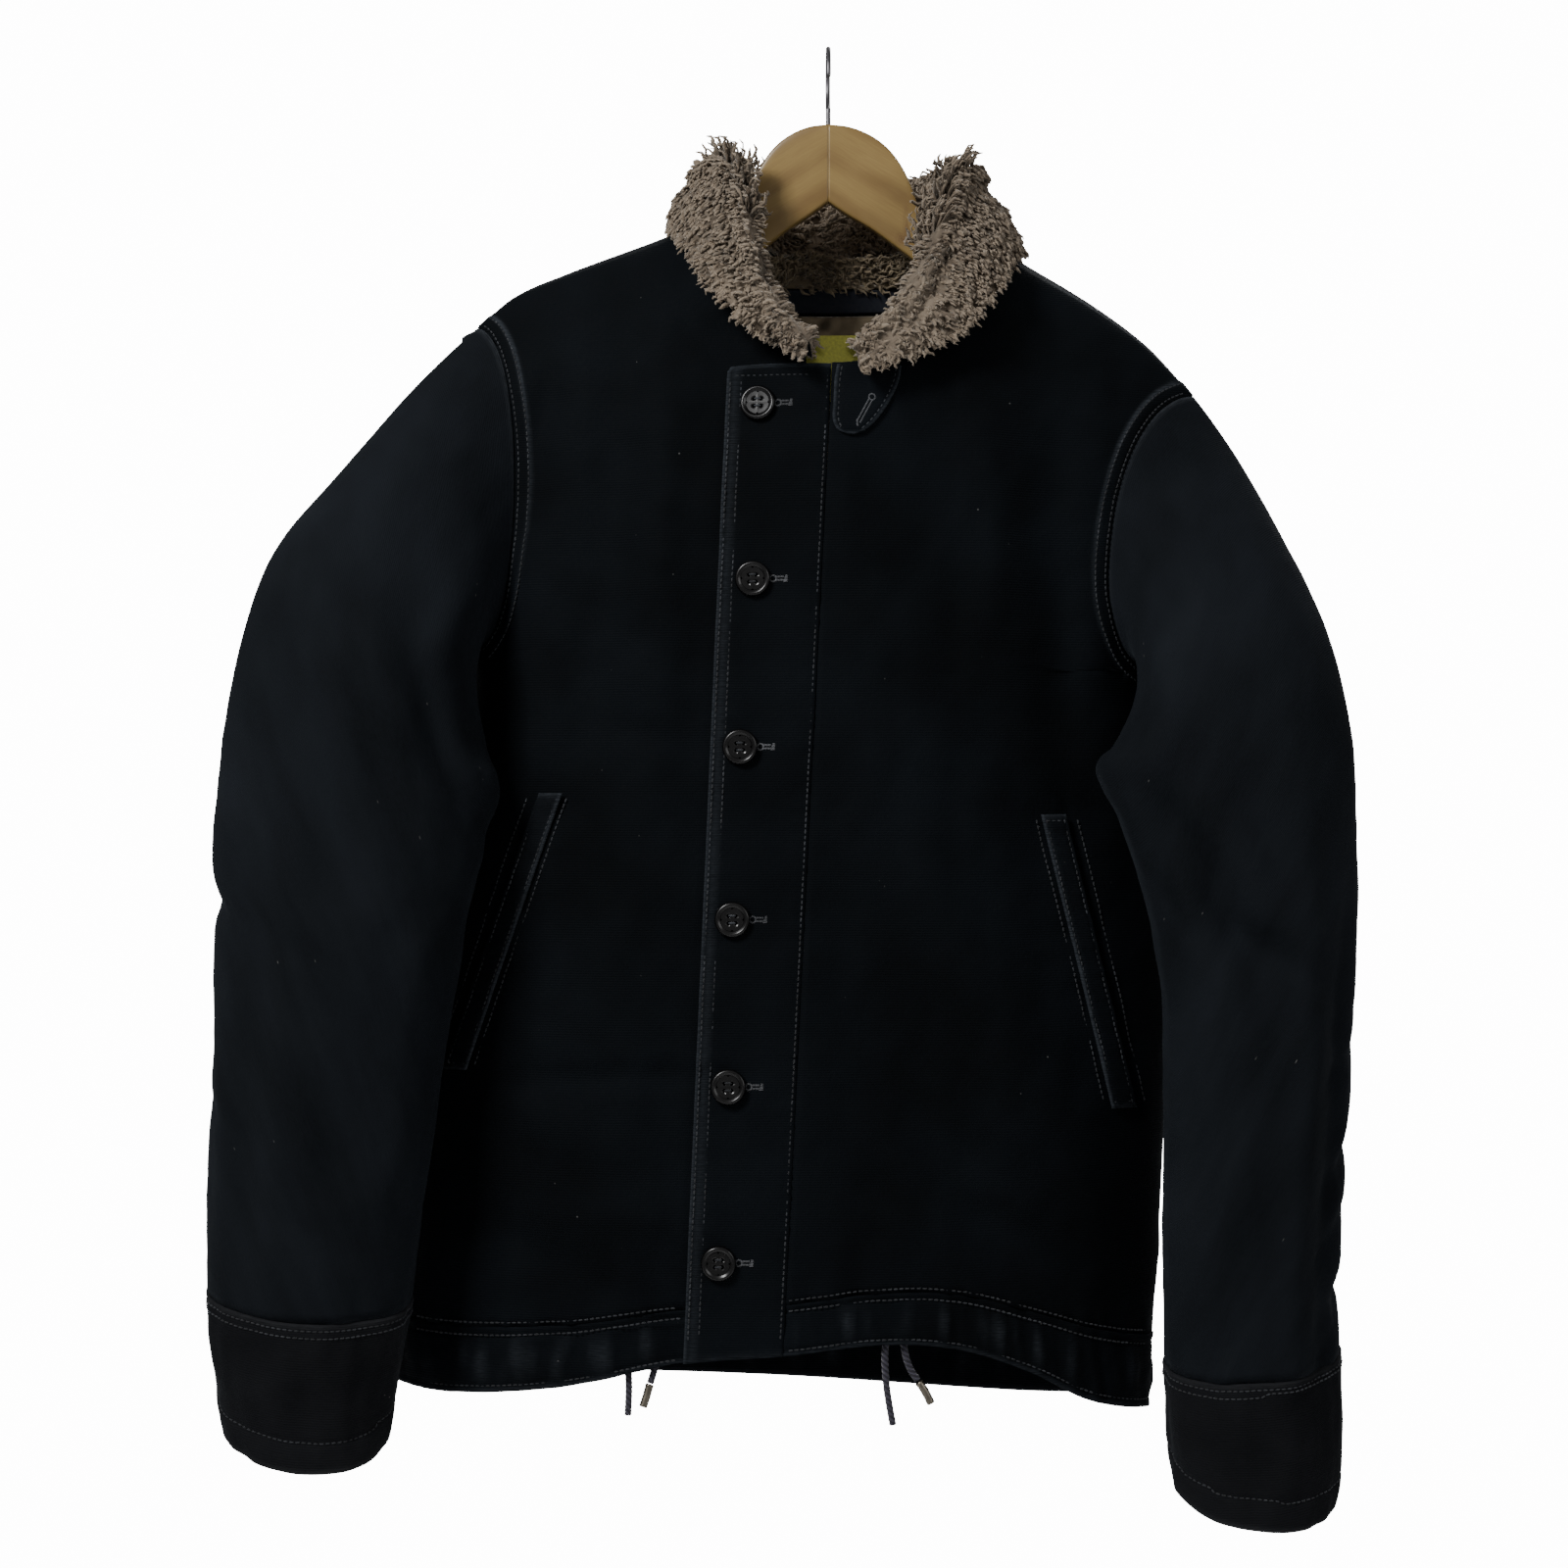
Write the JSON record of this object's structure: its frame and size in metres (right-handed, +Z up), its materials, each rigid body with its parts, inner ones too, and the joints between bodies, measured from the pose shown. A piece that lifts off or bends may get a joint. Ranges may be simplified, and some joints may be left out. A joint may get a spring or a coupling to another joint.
{
  "type": "deck jacket on a wooden hanger",
  "caption": "Short black cotton deck jacket with a folded pile collar, buttoned overlap, slanted welt pockets and plain cuffs, hung open-bodied on a wooden hanger.",
  "frame": {"origin": "the point inside the hook's bend where a rail bears", "axes": "+Z up, the front faces -Y, +X towards the wearer's left"},
  "size_m": [0.641, 0.2186, 0.8379],
  "materials": {
    "cloth": "worn black cotton cord cloth",
    "cuff": "worn black cotton, stitched",
    "pile": "grey-brown curly wool pile",
    "lining": "dark brown wool pile",
    "tape": "dark woven tape",
    "label": "plain yellow woven label",
    "wood": "clear satin varnish",
    "wire": "dull bright wire",
    "button": "black, glossy",
    "cord": "braided cotton",
    "tip": "dull worn metal"
  },
  "bodies": {
    "root": {"front_right": "cloth", "front_left": "cloth", "placket": "cloth", "back": "cloth", "hem_right": "cuff", "hem_left": "cuff", "hem_back": "cuff", "sleeve_right": "cloth", "cuff_right": "cuff", "sleeve_left": "cloth", "cuff_left": "cuff", "collar": "pile", "under_collar": "cloth", "neck_lining": "lining", "neck_tape": "tape", "label": "label", "throat_tab": "cloth", "welt_right": "cuff", "welt_left": "cuff", "button_1": "button", "button_2": "button", "button_3": "button", "button_4": "button", "button_5": "button", "button_6": "button", "hanger_right": "wood", "hanger_left": "wood", "hook": "wire", "drawcord_right_end": "cord", "drawcord_right_tip": "tip", "drawcord_right_loop": "cord", "drawcord_left_loop": "cord", "drawcord_left_end": "cord", "drawcord_left_tip": "tip"}
  },
  "joints": []
}
